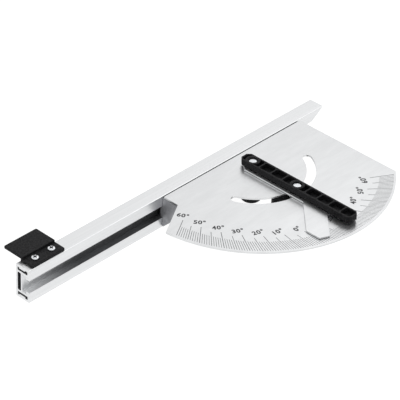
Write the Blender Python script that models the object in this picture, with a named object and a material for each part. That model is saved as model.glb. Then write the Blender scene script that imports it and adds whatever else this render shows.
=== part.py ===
"""Guide rail angle stop: a long extruded fence, a protractor plate that hangs on it, and a guide bar with
a pointer that swings over the plate and is clamped in an arc slot.

World: +X runs along the fence, +Y is the way its working face looks, +Z is up. The origin lies on the
working face, half-way up the fence, in line with the bar's pivot. Lengths are in metres.

The fence and its clip are drawn from that origin. Everything else is drawn from the pivot axis at the
plate's top: y grows toward the fence, and z is negative under the plate.
"""

import math

import bmesh
import bpy
from mathutils import Matrix, Vector

MM = 0.001

# Clearances between pieces
SEAT_GAP = 0.3 * MM
BORE_GAP = 0.3 * MM

# Fence: an aluminium extrusion with a T groove in its front and three closed hollows
FENCE_LENGTH = 400 * MM
FENCE_LEFT_REACH = 267.5 * MM
FENCE_WIDTH = 17.5 * MM
FENCE_HEIGHT = 36 * MM
FENCE_END_SLANT = math.radians(55)
FENCE_EDGE_RADIUS = 1 * MM
BACK_WALL = 2.2 * MM
BACK_HOLLOW_WIDTH = 4.2 * MM
BACK_HOLLOW_RADIUS = 1 * MM
WEB = 1.6 * MM
GROOVE_LIP = 4.3 * MM
GROOVE_OPENING = 13.6 * MM
CHAMBER_ROOF = 3.7 * MM
CHAMBER_HEIGHT = 2.3 * MM
CHAMBER_SHELF = 2.1 * MM
CHAMBER_FRONT_WALL = 2.4 * MM
CHAMBER_BULGE = 1.2 * MM
CHAMBER_BACK_BULGE_WIDTH = 2.1 * MM
CHAMBER_FRONT_BULGE_WIDTH = 3.2 * MM
CHAMBER_CORNER_RADIUS = 0.4 * MM

# End clip: a moulded plate on the fence, with a tongue that overhangs the working face
CLIP_LENGTH = 40 * MM
CLIP_END_INSET = 5.2 * MM
CLIP_FRONT_INSET = 1 * MM
CLIP_BASE_THICKNESS = 2.2 * MM
CLIP_STEP_INSET = 2.8 * MM
CLIP_STEP_WALL = 2.2 * MM
CLIP_TONGUE_REACH = 21.9 * MM
CLIP_TONGUE_LIFT = 2.1 * MM
CLIP_TONGUE_THICKNESS = 2.3 * MM
CLIP_CORNER_RADIUS = 1.5 * MM
CLIP_EDGE_BEVEL = 0.35 * MM
CLIP_SCREW_PITCH = 20 * MM
CLIP_SCREW_FROM_FRONT = 8.6 * MM
CLIP_SCREW_DIAMETER = 3.6 * MM
CLIP_SCREW_LENGTH = 7.2 * MM
CLIP_SCREW_HEAD = 7 * MM
CLIP_SCREW_HEAD_HEIGHT = 1.5 * MM

# Protractor plate: its scale's limit lines also give the slot's reach and the flare at its left
PIVOT_TO_FENCE = 25.3 * MM
PLATE_TO_FENCE = 0.8 * MM
PLATE_THICKNESS = 2 * MM
PLATE_RADIUS = 137.5 * MM
PLATE_LEFT = 97.2 * MM
PLATE_RIGHT = 95.5 * MM
PLATE_FLARE_FROM_PIVOT = 5.8 * MM
SWING_LIMIT = math.radians(60)
SLOT_RADIUS = 56.5 * MM
SLOT_CLEARANCE = 1.6 * MM
SLOT_OVERRUN = math.radians(4)

# Weld studs under the plate, with their nuts
STUD_DIAMETER = 4 * MM
STUD_END = 1.2 * MM
STUD_WELD = 1 * MM
STUD_FROM_FENCE = 12 * MM
STUD_POCKETS = (0, 2, 3, 5)
STUD_NUT_WIDTH = 7 * MM
STUD_NUT_HEIGHT = 3.2 * MM

# Bracket: a wedge under the plate, open on its sloping side between triangular ribs
BRACKET_FLOOR_CLEARANCE = 2 * MM
BRACKET_TOE = 1.5 * MM
BRACKET_SLOPE = math.radians(45)
BRACKET_TOP_WALL = 3 * MM
BRACKET_BACK_WALL = 3 * MM
BRACKET_RIB = 3 * MM
BRACKET_POCKETS = 6
BRACKET_POCKET_RADIUS = 2 * MM
BRACKET_KEY_DEPTH = 2.5 * MM
BOSS_DIAMETER = 18 * MM
BOSS_HEIGHT = 9 * MM

# Screws through the bracket into nuts in the fence's groove
GROOVE_SCREW_POCKETS = (1, 4)
GROOVE_SCREW_DIAMETER = 6 * MM
GROOVE_SCREW_HEAD = 10 * MM
GROOVE_SCREW_HEAD_HEIGHT = 6 * MM
GROOVE_WASHER_DIAMETER = 12 * MM
GROOVE_WASHER_THICKNESS = 1.6 * MM
GROOVE_NUT_LENGTH = 18 * MM
GROOVE_NUT_THICKNESS = 4.4 * MM
GROOVE_NUT_RADIUS = 2 * MM

# Pointer: a sheet between plate and bar, whose bent arm carries the reading edge
POINTER_THICKNESS = 1.7 * MM
POINTER_HALF_WIDTH = 10.5 * MM
POINTER_FAR_REACH = 15 * MM
POINTER_CORNER = 3 * MM
POINTER_ARM_START = 73.5 * MM
POINTER_ARM_ANGLE = math.radians(45)
POINTER_TIP_WIDTH = 12.1 * MM
READING_OFFSET = 43.1 * MM
READING_LENGTH = 18.1 * MM

# Guide bar: a moulding with pockets between cross ribs, and a boss for each bolt
BAR_WIDTH = 14.6 * MM
BAR_HEIGHT = 6.2 * MM
BAR_FAR_REACH = 11.8 * MM
BAR_NEAR_REACH = 127.1 * MM
BAR_CORNER_CHAMFER = 3.8 * MM
BAR_EDGE_BEVEL = 0.4 * MM
BAR_WALL = 2.1 * MM
BAR_FLOOR = 1.5 * MM
BAR_RIB = 1.5 * MM
BAR_FIRST_RIB = 12 * MM
BAR_RIB_PITCH = 14.4 * MM
BAR_POCKET_CORNER = 1.4 * MM
BAR_SHORTEST_POCKET = 4 * MM

# Pivot bolt and clamp bolt, whose heads sink into the bar
BOLT_DIAMETER = 6 * MM
BOLT_HEAD_DIAMETER = 8.4 * MM
BOLT_HEAD_HEIGHT = 2.8 * MM
BOLT_HEAD_SINK = 1.1 * MM
BOLT_HEAD_EDGE = 0.4 * MM
BOLT_HEAD_CLEARANCE = 0.4 * MM
CLAMP_NECK_CHAMFER = 1 * MM
BOLT_END = 1 * MM
WASHER_DIAMETER = 16 * MM
WASHER_THICKNESS = 1.6 * MM

# Pivot nut and the foot that is pushed over it
PIVOT_NUT_WIDTH = 10 * MM
PIVOT_NUT_HEIGHT = 5 * MM
FOOT_DIAMETER = 20 * MM
FOOT_CHAMFER = 1 * MM
FOOT_WALL = 2.5 * MM
FOOT_WEB = 4 * MM
FOOT_CLEARANCE = 0.5 * MM

# Clamp knob: a lobed grip under the plate, whose end is level with the fence's underside
KNOB_DIAMETER = 48 * MM
KNOB_LOBES = 8
KNOB_LOBE_DEPTH = 2.6 * MM
KNOB_EDGE_RADIUS = 2.5 * MM
KNOB_HUB_DIAMETER = 20 * MM
KNOB_HUB_HEIGHT = 4.8 * MM
BUSH_DIAMETER = 12 * MM
BUSH_LENGTH = 14 * MM

# Facets
ROUND_STEPS = 32
PLATE_ARC_STEPS = 72
SLOT_ARC_STEPS = 48
LOBE_STEPS = 7
SMOOTH_ANGLE = math.radians(32)

# Heights and places in the pivot's frame
FENCE_Y = PIVOT_TO_FENCE
FLOOR_Z = -FENCE_HEIGHT
GROOVE_Z = -FENCE_HEIGHT / 2
PLATE_UNDER_Z = -PLATE_THICKNESS
PLATE_BACK_Y = FENCE_Y - PLATE_TO_FENCE
STUD_Y = FENCE_Y - STUD_FROM_FENCE
BRACKET_TOP_Z = PLATE_UNDER_Z - SEAT_GAP
BRACKET_WALL_Z = BRACKET_TOP_Z - BRACKET_TOP_WALL
BRACKET_BACK_Y = FENCE_Y - SEAT_GAP
BRACKET_WALL_Y = BRACKET_BACK_Y - BRACKET_BACK_WALL
BRACKET_BOTTOM_Z = FLOOR_Z + BRACKET_FLOOR_CLEARANCE
BRACKET_FRONT_Y = BRACKET_BACK_Y - BRACKET_TOE - (BRACKET_TOP_Z - BRACKET_BOTTOM_Z) / math.tan(BRACKET_SLOPE)
BOSS_Z = BRACKET_TOP_Z - BOSS_HEIGHT
POCKET_PITCH = (PLATE_LEFT + PLATE_RIGHT - BRACKET_RIB) / BRACKET_POCKETS
POINTER_Z = SEAT_GAP
POINTER_TOP_Z = POINTER_Z + POINTER_THICKNESS
BAR_Z = POINTER_TOP_Z + SEAT_GAP
BAR_TOP_Z = BAR_Z + BAR_HEIGHT
BOLT_HEAD_TOP_Z = BAR_TOP_Z - BOLT_HEAD_SINK
BOLT_HEAD_Z = BOLT_HEAD_TOP_Z - BOLT_HEAD_HEIGHT
BOLT_SEAT_Z = BOLT_HEAD_Z - SEAT_GAP
BOLT_RADIUS = BOLT_DIAMETER / 2
BOLT_BORE_RADIUS = BOLT_RADIUS + BORE_GAP
PIVOT_WASHER_Z = BOSS_Z - SEAT_GAP
PIVOT_NUT_Z = PIVOT_WASHER_Z - WASHER_THICKNESS - SEAT_GAP
PIVOT_BOLT_END_Z = PIVOT_NUT_Z - PIVOT_NUT_HEIGHT - BOLT_END
CLAMP_WASHER_Z = PLATE_UNDER_Z - SEAT_GAP
KNOB_HUB_Z = CLAMP_WASHER_Z - WASHER_THICKNESS - SEAT_GAP
KNOB_HEAD_Z = KNOB_HUB_Z - KNOB_HUB_HEIGHT

# Heights and places in the fence's own frame
FENCE_TOP_Z = FENCE_HEIGHT / 2
FENCE_FRONT_Y = -FENCE_WIDTH
FENCE_LEFT_X = -FENCE_LEFT_REACH
FENCE_RIGHT_X = FENCE_LENGTH - FENCE_LEFT_REACH
CHAMBER_OUTER_Z = FENCE_TOP_Z - CHAMBER_ROOF
CHAMBER_INNER_Z = CHAMBER_OUTER_Z - CHAMBER_HEIGHT
GROOVE_HALF_HEIGHT = CHAMBER_INNER_Z - CHAMBER_SHELF
GROOVE_BACK_Y = -BACK_WALL - BACK_HOLLOW_WIDTH - WEB
GROOVE_LIP_Y = FENCE_FRONT_Y + GROOVE_LIP
CLIP_Z = FENCE_TOP_Z + SEAT_GAP
CLIP_BASE_TOP_Z = CLIP_Z + CLIP_BASE_THICKNESS
CLIP_LEFT_X = FENCE_LEFT_X + CLIP_END_INSET
CLIP_FRONT_Y = FENCE_FRONT_Y + CLIP_FRONT_INSET
CLIP_SCREW_Y = FENCE_FRONT_Y + CLIP_SCREW_FROM_FRONT
CLIP_SCREW_XS = [CLIP_LEFT_X + CLIP_LENGTH / 2 + side * CLIP_SCREW_PITCH / 2 for side in (-1, 1)]

# How far a cutter runs past the face that it starts from, and how near two places are taken as one
PAST = 2 * MM
SAME = 0.001 * MM


def clear_scene():
    for obj in list(bpy.data.objects):
        bpy.data.objects.remove(obj, do_unlink=True)


def material(name, colour, roughness, metallic=0.0):
    made = bpy.data.materials.get(name) or bpy.data.materials.new(name)
    made.use_nodes = True
    shader = made.node_tree.nodes["Principled BSDF"]
    shader.inputs["Base Color"].default_value = (*colour, 1.0)
    shader.inputs["Roughness"].default_value = roughness
    shader.inputs["Metallic"].default_value = metallic
    made.diffuse_color = (*colour, 1.0)
    return made


def satin_aluminium():
    return material("satin aluminium", (0.80, 0.81, 0.82), 0.38, 1.0)


def sheet_steel():
    return material("chromated sheet steel", (0.74, 0.75, 0.76), 0.34, 1.0)


def cast_aluminium():
    return material("grey cast aluminium", (0.19, 0.19, 0.2), 0.6, 0.4)


def black_nylon():
    return material("black glass-filled nylon", (0.016, 0.016, 0.017), 0.5)


def zinc_steel():
    return material("zinc-plated steel", (0.72, 0.73, 0.74), 0.3, 1.0)


def frame(name, place, parent=None):
    """An empty that the pieces of one body hang on, placed from its parent's origin."""
    made = bpy.data.objects.new(name, None)
    bpy.context.scene.collection.objects.link(made)
    made.empty_display_size = 10 * MM
    made.parent = parent
    made.location = place
    return made


def piece(name, bm, finish, parent, place=(0, 0, 0)):
    """Turns a bmesh into a named object, placed from its parent's origin."""
    mesh = bpy.data.meshes.new(name)
    bm.to_mesh(mesh)
    bm.free()
    mesh.materials.append(finish)
    mesh.shade_smooth()
    mesh.set_sharp_from_angle(angle=SMOOTH_ANGLE)
    obj = bpy.data.objects.new(name, mesh)
    bpy.context.scene.collection.objects.link(obj)
    obj.parent = parent
    obj.location = place
    return obj


def combine(obj, operation, shapes):
    """Joins closed shapes to obj (UNION) or cuts them from it (DIFFERENCE). They don't meet each other."""
    whole = bmesh.new()
    for shape in shapes:
        mesh = bpy.data.meshes.new("shape")
        shape.to_mesh(mesh)
        shape.free()
        whole.from_mesh(mesh)
        bpy.data.meshes.remove(mesh)
    helper = piece(f"{obj.name} helper", whole, obj.data.materials[0], obj.parent, obj.location)
    helper.hide_render = True
    helper.display_type = "WIRE"
    boolean = obj.modifiers.new(operation.title(), "BOOLEAN")
    boolean.operation = operation
    boolean.solver = "EXACT"
    boolean.object = helper


def arc(centre, radius, start, end, steps):
    """Points on an arc, with both of its ends."""
    turns = [start + (end - start) * i / steps for i in range(steps + 1)]
    return [(centre[0] + radius * math.cos(turn), centre[1] + radius * math.sin(turn)) for turn in turns]


def circle(centre, radius, steps=ROUND_STEPS):
    return arc(centre, radius, 0, 2 * math.pi, steps)[:-1]


def hexagon(width):
    """A hexagon about the origin, from its width across flats."""
    return circle((0, 0), width / math.sqrt(3), 6)


def rectangle(low, high):
    return [(low[0], low[1]), (high[0], low[1]), (high[0], high[1]), (low[0], high[1])]


def chamfered_square(half, chamfer):
    """A square about the origin whose corners are cut off."""
    near = half - chamfer
    return [
        (half, near), (near, half), (-near, half), (-half, near),
        (-half, -near), (-near, -half), (near, -half), (half, -near),
    ]


def rounded(points, radius, steps=2):
    """An outline with each of its corners turned into an arc."""
    made = []
    for i, point in enumerate(points):
        corner = Vector(point)
        before = (Vector(points[i - 1]) - corner).normalized()
        after = (Vector(points[(i + 1) % len(points)]) - corner).normalized()
        half = before.angle(after) / 2
        centre = corner + (before + after).normalized() * radius / math.sin(half)
        first = corner + before * radius / math.tan(half) - centre
        last = corner + after * radius / math.tan(half) - centre
        start = math.atan2(first.y, first.x)
        sweep = math.remainder(math.atan2(last.y, last.x) - start, 2 * math.pi)
        made += arc(centre, radius, start, start + sweep, steps)
    return made


def prism(loops, low, high, axis="Z"):
    """A flat outline, with any holes, extruded from low to high along one axis.

    The outline's coordinates are the other two, in order: (y, z), (x, z) or (x, y).
    """
    along = "XYZ".index(axis)
    across = [i for i in range(3) if i != along]
    bm = bmesh.new()
    edges = []
    for loop in loops:
        verts = []
        for point in loop:
            place = Vector((0, 0, 0))
            place[across[0]], place[across[1]] = point
            place[along] = low
            verts.append(bm.verts.new(place))
        edges += [bm.edges.new(pair) for pair in zip(verts, verts[1:] + verts[:1])]
    if len(loops) == 1:
        bm.faces.new(verts)
    else:
        bmesh.ops.triangle_fill(bm, edges=edges, use_beauty=True)
    grown = bmesh.ops.extrude_face_region(bm, geom=bm.faces[:])
    raised = [item for item in grown["geom"] if isinstance(item, bmesh.types.BMVert)]
    way = Vector((0, 0, 0))
    way[along] = high - low
    bmesh.ops.translate(bm, verts=raised, vec=way)
    bmesh.ops.recalc_face_normals(bm, faces=bm.faces[:])
    return bm


def turned(profile, steps=ROUND_STEPS):
    """A round piece: a (radius, height) outline spun about Z. One that misses the axis is closed on itself."""
    bm = bmesh.new()
    verts = [bm.verts.new((radius, 0, height)) for radius, height in profile]
    edges = [bm.edges.new(pair) for pair in zip(verts, verts[1:])]
    if profile[0][0] > 0 and profile[-1][0] > 0:
        edges.append(bm.edges.new((verts[-1], verts[0])))
    full = 2 * math.pi
    bmesh.ops.spin(bm, geom=verts + edges, axis=(0, 0, 1), angle=full, steps=steps, use_merge=True)
    bmesh.ops.remove_doubles(bm, verts=bm.verts[:], dist=SAME)
    bmesh.ops.recalc_face_normals(bm, faces=bm.faces[:])
    return bm


def lofted(rings):
    """A closed skin through rings of equally many points, with a flat face at each end."""
    bm = bmesh.new()
    rows = [[bm.verts.new(point) for point in ring] for ring in rings]
    for row, following in zip(rows, rows[1:]):
        for i in range(len(row)):
            bm.faces.new((row[i - 1], row[i], following[i], following[i - 1]))
    bm.faces.new(rows[0])
    bm.faces.new(rows[-1])
    bmesh.ops.recalc_face_normals(bm, faces=bm.faces[:])
    return bm


def moved(bm, place):
    bmesh.ops.translate(bm, verts=bm.verts[:], vec=place)
    return bm


def laid_along_y(bm):
    """Turns a piece that stands on Z so that its top looks along -Y."""
    bmesh.ops.rotate(bm, verts=bm.verts[:], cent=(0, 0, 0), matrix=Matrix.Rotation(math.pi / 2, 3, "X"))
    return bm


def bevel(bm, width, chosen, segments=1):
    """Bevels the sharp edges for which chosen(edge) holds."""
    sharp = [edge for edge in bm.edges if edge.calc_face_angle(0) > SMOOTH_ANGLE and chosen(edge)]
    bmesh.ops.bevel(
        bm, geom=sharp, offset=width, affect="EDGES", segments=segments, profile=0.5, material=-1
    )


def is_outer_corner(edge):
    """Chooses the clip's upright edges at its front and at its tongue's tip, not those at its step."""
    first, second = (vert.co for vert in edge.verts)
    upright = (first - second).xy.length < SAME
    return upright and (first.y < CLIP_FRONT_Y + SAME or first.y > CLIP_TONGUE_REACH - SAME)


def lies_at(height):
    """Chooses the edges that lie level at one height."""
    return lambda edge: all(abs(vert.co.z - height) < SAME for vert in edge.verts)


def washer(outer, inner_radius, thickness):
    """A washer whose top lies at height 0."""
    return turned([(outer / 2, 0), (outer / 2, -thickness), (inner_radius, -thickness), (inner_radius, 0)])


def hex_nut(width, height, bore_radius):
    """A hexagon nut whose top lies at height 0."""
    return prism([hexagon(width), circle((0, 0), bore_radius, 24)], -height, 0)


def fence_outline():
    """The section's outer loop in (y, z), with the T groove let into its front."""
    opening = GROOVE_OPENING / 2
    corners = [(FENCE_FRONT_Y, -FENCE_TOP_Z), (0, -FENCE_TOP_Z), (0, FENCE_TOP_Z), (FENCE_FRONT_Y, FENCE_TOP_Z)]
    upper = [
        (FENCE_FRONT_Y, opening),
        (GROOVE_LIP_Y, opening),
        (GROOVE_LIP_Y, GROOVE_HALF_HEIGHT),
        (GROOVE_BACK_Y, GROOVE_HALF_HEIGHT),
    ]
    lower = [(y, -z) for y, z in reversed(upper)]
    return rounded(corners, FENCE_EDGE_RADIUS) + upper + lower


def chamber_outline(side):
    """The flat hollow at the fence's top (side 1) or bottom (side -1), which bulges outward at both ends."""
    front = FENCE_FRONT_Y + CHAMBER_FRONT_WALL
    back = -BACK_WALL
    bulge = CHAMBER_OUTER_Z + CHAMBER_BULGE
    corners = [
        (front, CHAMBER_INNER_Z),
        (back, CHAMBER_INNER_Z),
        (back, bulge),
        (back - CHAMBER_BACK_BULGE_WIDTH, bulge),
        (back - CHAMBER_BACK_BULGE_WIDTH, CHAMBER_OUTER_Z),
        (front + CHAMBER_FRONT_BULGE_WIDTH, CHAMBER_OUTER_Z),
        (front + CHAMBER_FRONT_BULGE_WIDTH, bulge),
        (front, bulge),
    ]
    return [(y, side * z) for y, z in rounded(corners, CHAMBER_CORNER_RADIUS, 1)]


def back_hollow_outline():
    low = (-BACK_WALL - BACK_HOLLOW_WIDTH, -GROOVE_HALF_HEIGHT)
    high = (-BACK_WALL, GROOVE_HALF_HEIGHT)
    return rounded(rectangle(low, high), BACK_HOLLOW_RADIUS)


def build_fence_extrusion(body):
    """The extrusion, cut square at its left and slanted at its right, where the underside is shorter."""
    loops = [fence_outline(), chamber_outline(1), chamber_outline(-1), back_hollow_outline()]
    bm = prism(loops, FENCE_LEFT_X, FENCE_RIGHT_X, "X")
    for vert in bm.verts:
        if vert.co.x > FENCE_LEFT_X + FENCE_LENGTH / 2:
            vert.co.x -= (FENCE_TOP_Z - vert.co.z) * math.tan(FENCE_END_SLANT)
    fence = piece("fence_extrusion", bm, satin_aluminium(), body)
    radius = CLIP_SCREW_DIAMETER / 2 + BORE_GAP
    depth = CHAMBER_OUTER_Z - CHAMBER_HEIGHT / 2
    holes = [prism([circle((x, CLIP_SCREW_Y), radius, 24)], depth, FENCE_TOP_Z + PAST) for x in CLIP_SCREW_XS]
    combine(fence, "DIFFERENCE", holes)


def build_end_clip(body):
    """The clip: a base on the fence's top, and behind a step the higher tongue."""
    step_y = -CLIP_STEP_INSET
    lift_y = step_y + CLIP_STEP_WALL
    tongue_z = CLIP_Z + CLIP_TONGUE_LIFT
    tongue_top_z = tongue_z + CLIP_TONGUE_THICKNESS
    side = [
        (CLIP_FRONT_Y, CLIP_Z),
        (lift_y, CLIP_Z),
        (lift_y, tongue_z),
        (CLIP_TONGUE_REACH, tongue_z),
        (CLIP_TONGUE_REACH, tongue_top_z),
        (step_y, tongue_top_z),
        (step_y, CLIP_BASE_TOP_Z),
        (CLIP_FRONT_Y, CLIP_BASE_TOP_Z),
    ]
    bm = prism([side], CLIP_LEFT_X, CLIP_LEFT_X + CLIP_LENGTH, "X")
    bevel(bm, CLIP_CORNER_RADIUS, is_outer_corner, 4)
    bevel(bm, CLIP_EDGE_BEVEL, lies_at(tongue_top_z))
    bevel(bm, CLIP_EDGE_BEVEL, lies_at(CLIP_BASE_TOP_Z))
    clip = piece("end_clip", bm, black_nylon(), body)
    radius = CLIP_SCREW_DIAMETER / 2 + BORE_GAP
    low, high = CLIP_Z - PAST, CLIP_BASE_TOP_Z + PAST
    holes = [prism([circle((x, CLIP_SCREW_Y), radius, 24)], low, high) for x in CLIP_SCREW_XS]
    combine(clip, "DIFFERENCE", holes)


def build_clip_screws(body):
    """Two pan-head screws, which end in the hollow under the fence's top wall."""
    head, shank = CLIP_SCREW_HEAD / 2, CLIP_SCREW_DIAMETER / 2
    flank = 0.4 * CLIP_SCREW_HEAD_HEIGHT
    crown = arc((0, 0), 1, 0, math.pi / 2, 4)
    dome = [(head * (0.5 + 0.5 * c), flank + (CLIP_SCREW_HEAD_HEIGHT - flank) * s) for c, s in reversed(crown)]
    profile = [(0, CLIP_SCREW_HEAD_HEIGHT)] + dome
    profile += [(head, 0), (shank, 0), (shank, -CLIP_SCREW_LENGTH), (0, -CLIP_SCREW_LENGTH)]
    for name, x in zip(("clip_screw_left", "clip_screw_right"), CLIP_SCREW_XS):
        piece(name, turned(profile, 24), zinc_steel(), body, (x, CLIP_SCREW_Y, CLIP_BASE_TOP_Z + SEAT_GAP))


def slot_outline(radius, width, reach):
    """A slot along an arc about the pivot, from -reach to +reach about -Y, with round ends."""
    start, end = -math.pi / 2 - reach, -math.pi / 2 + reach
    first = (radius * math.cos(start), radius * math.sin(start))
    last = (radius * math.cos(end), radius * math.sin(end))
    outline = arc((0, 0), radius + width / 2, start, end, SLOT_ARC_STEPS)
    outline += arc(last, width / 2, end, end + math.pi, 8)[1:-1]
    outline += arc((0, 0), radius - width / 2, end, start, SLOT_ARC_STEPS)
    outline += arc(first, width / 2, start + math.pi, start + 2 * math.pi, 8)[1:-1]
    return outline


def plate_outline():
    """The plate's edge: square to the fence, round in front, and flared at its left along the limit line."""
    flare_start = Vector((-PLATE_LEFT, PLATE_FLARE_FROM_PIVOT))
    flare = Vector((-math.sin(SWING_LIMIT), -math.cos(SWING_LIMIT)))
    inward = flare_start.dot(flare)
    run = math.sqrt(inward**2 - flare_start.length_squared + PLATE_RADIUS**2) - inward
    flare_end = flare_start + flare * run
    start = math.atan2(flare_end.y, flare_end.x)
    end = -math.acos(PLATE_RIGHT / PLATE_RADIUS)
    rim = arc((0, 0), PLATE_RADIUS, start, end, PLATE_ARC_STEPS)
    return [(-PLATE_LEFT, PLATE_BACK_Y), tuple(flare_start)] + rim + [(PLATE_RIGHT, PLATE_BACK_Y)]


def pocket_middle(index):
    """The x of the middle of one of the bracket's pockets."""
    return -PLATE_LEFT + BRACKET_RIB / 2 + (index + 0.5) * POCKET_PITCH


def build_protractor_plate(body):
    slot = slot_outline(SLOT_RADIUS, BOLT_DIAMETER + 2 * SLOT_CLEARANCE, SWING_LIMIT + SLOT_OVERRUN)
    loops = [plate_outline(), slot, circle((0, 0), BOLT_BORE_RADIUS)]
    plate = piece("protractor_plate", prism(loops, PLATE_UNDER_Z, 0), sheet_steel(), body)
    low = BRACKET_WALL_Z - SEAT_GAP - STUD_NUT_HEIGHT - STUD_END
    high = PLATE_UNDER_Z + STUD_WELD
    centres = [(pocket_middle(index), STUD_Y) for index in STUD_POCKETS]
    combine(plate, "UNION", [prism([circle(centre, STUD_DIAMETER / 2, 24)], low, high) for centre in centres])


def build_bracket_nuts(body):
    for number, index in enumerate(STUD_POCKETS, 1):
        nut = hex_nut(STUD_NUT_WIDTH, STUD_NUT_HEIGHT, STUD_DIAMETER / 2 + BORE_GAP)
        place = (pocket_middle(index), STUD_Y, BRACKET_WALL_Z - SEAT_GAP)
        piece(f"bracket_nut_{number}", nut, zinc_steel(), body, place)


def bracket_outline():
    """The wedge's section in (y, z), with the key that lies in the groove's opening."""
    key = GROOVE_OPENING / 2 - SEAT_GAP
    key_y = FENCE_Y + BRACKET_KEY_DEPTH
    return [
        (BRACKET_BACK_Y, BRACKET_TOP_Z),
        (BRACKET_FRONT_Y, BRACKET_TOP_Z),
        (BRACKET_BACK_Y - BRACKET_TOE, BRACKET_BOTTOM_Z),
        (BRACKET_BACK_Y, BRACKET_BOTTOM_Z),
        (BRACKET_BACK_Y, GROOVE_Z - key),
        (key_y, GROOVE_Z - key),
        (key_y, GROOVE_Z + key),
        (BRACKET_BACK_Y, GROOVE_Z + key),
    ]


def build_plate_bracket(body):
    """The wedge, its pockets, the boss round the pivot bolt, and the bores for studs and screws."""
    bm = prism([bracket_outline()], -PLATE_LEFT, PLATE_RIGHT, "X")
    bracket = piece("plate_bracket", bm, cast_aluminium(), body)
    past = (BRACKET_FRONT_Y - PAST, BRACKET_BOTTOM_Z - PAST)
    corners = rectangle(past, (BRACKET_WALL_Y, BRACKET_WALL_Z))
    pocket = rounded(corners, BRACKET_POCKET_RADIUS)
    half = (POCKET_PITCH - BRACKET_RIB) / 2
    middles = [pocket_middle(index) for index in range(BRACKET_POCKETS)]
    combine(bracket, "DIFFERENCE", [prism([pocket], x - half, x + half, "X") for x in middles])
    spot_face = circle((0, 0), FOOT_DIAMETER / 2 + FOOT_CLEARANCE)
    combine(bracket, "DIFFERENCE", [prism([spot_face], BRACKET_BOTTOM_Z - PAST, BOSS_Z)])
    inside_wall = BRACKET_TOP_Z - BRACKET_TOP_WALL / 2
    combine(bracket, "UNION", [prism([circle((0, 0), BOSS_DIAMETER / 2)], BOSS_Z, inside_wall)])
    stud = STUD_DIAMETER / 2 + BORE_GAP
    low, high = BRACKET_WALL_Z - PAST, BRACKET_TOP_Z + PAST
    bores = [prism([circle((pocket_middle(i), STUD_Y), stud, 24)], low, high) for i in STUD_POCKETS]
    bores.append(prism([circle((0, 0), BOLT_BORE_RADIUS)], BOSS_Z - PAST, high))
    screw = GROOVE_SCREW_DIAMETER / 2 + BORE_GAP
    front, back = BRACKET_WALL_Y - PAST, FENCE_Y + BRACKET_KEY_DEPTH + PAST
    bores += [prism([circle((pocket_middle(i), GROOVE_Z), screw, 24)], front, back, "Y") for i in GROOVE_SCREW_POCKETS]
    combine(bracket, "DIFFERENCE", bores)


def build_groove_fixings(body):
    """Two screws with washers in the bracket's pockets, and their nuts in the fence's groove."""
    washer_y = BRACKET_WALL_Y - SEAT_GAP
    head_y = washer_y - GROOVE_WASHER_THICKNESS - SEAT_GAP
    nut_y = FENCE_Y + GROOVE_LIP + SEAT_GAP
    shank, head = GROOVE_SCREW_DIAMETER / 2, GROOVE_SCREW_HEAD / 2
    length = nut_y + GROOVE_NUT_THICKNESS - head_y
    profile = [(0, GROOVE_SCREW_HEAD_HEIGHT), (head, GROOVE_SCREW_HEAD_HEIGHT), (head, 0), (shank, 0)]
    profile += [(shank, -length), (0, -length)]
    nut_half = (GROOVE_NUT_LENGTH / 2, GROOVE_HALF_HEIGHT - SEAT_GAP)
    nut_edge = rounded(rectangle((-nut_half[0], -nut_half[1]), nut_half), GROOVE_NUT_RADIUS)
    for side, index in zip(("left", "right"), GROOVE_SCREW_POCKETS):
        x = pocket_middle(index)
        screw = laid_along_y(turned(profile, 24))
        piece(f"slot_screw_{side}", screw, zinc_steel(), body, (x, head_y, GROOVE_Z))
        ring = laid_along_y(washer(GROOVE_WASHER_DIAMETER, shank + BORE_GAP, GROOVE_WASHER_THICKNESS))
        piece(f"slot_washer_{side}", ring, zinc_steel(), body, (x, washer_y - GROOVE_WASHER_THICKNESS, GROOVE_Z))
        nut = prism([nut_edge, circle((0, 0), shank + BORE_GAP, 24)], 0, GROOVE_NUT_THICKNESS, "Y")
        piece(f"slot_nut_{side}", nut, zinc_steel(), body, (x, nut_y, GROOVE_Z))


def bolt_profile(end_z):
    """The (radius, height) outline of a bolt whose head sinks into the bar, down to end_z."""
    head = BOLT_HEAD_DIAMETER / 2
    return [
        (0, BOLT_HEAD_TOP_Z),
        (head - BOLT_HEAD_EDGE, BOLT_HEAD_TOP_Z),
        (head, BOLT_HEAD_TOP_Z - BOLT_HEAD_EDGE),
        (head, BOLT_HEAD_Z),
        (BOLT_RADIUS, BOLT_HEAD_Z),
        (BOLT_RADIUS, end_z),
        (0, end_z),
    ]


def build_pivot_fixings(body):
    """The pivot bolt, its washer and nut under the bracket's boss, and the foot over the nut."""
    piece("pivot_bolt", turned(bolt_profile(PIVOT_BOLT_END_Z)), zinc_steel(), body)
    ring = washer(WASHER_DIAMETER, BOLT_BORE_RADIUS, WASHER_THICKNESS)
    piece("pivot_washer", ring, zinc_steel(), body, (0, 0, PIVOT_WASHER_Z))
    nut = hex_nut(PIVOT_NUT_WIDTH, PIVOT_NUT_HEIGHT, BOLT_BORE_RADIUS)
    piece("pivot_nut", nut, zinc_steel(), body, (0, 0, PIVOT_NUT_Z))
    outer = FOOT_DIAMETER / 2
    inner = outer - FOOT_WALL
    socket_z = PIVOT_BOLT_END_Z - SEAT_GAP
    hollow_z = socket_z - FOOT_WEB
    profile = [
        (0, PIVOT_NUT_Z),
        (outer, PIVOT_NUT_Z),
        (outer, FLOOR_Z + FOOT_CHAMFER),
        (outer - FOOT_CHAMFER, FLOOR_Z),
        (inner, FLOOR_Z),
        (inner, hollow_z),
        (0, hollow_z),
    ]
    foot = piece("pivot_foot", turned(profile), black_nylon(), body)
    combine(foot, "DIFFERENCE", [prism([hexagon(PIVOT_NUT_WIDTH + 2 * BORE_GAP)], socket_z, PIVOT_NUT_Z + PAST)])


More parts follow.
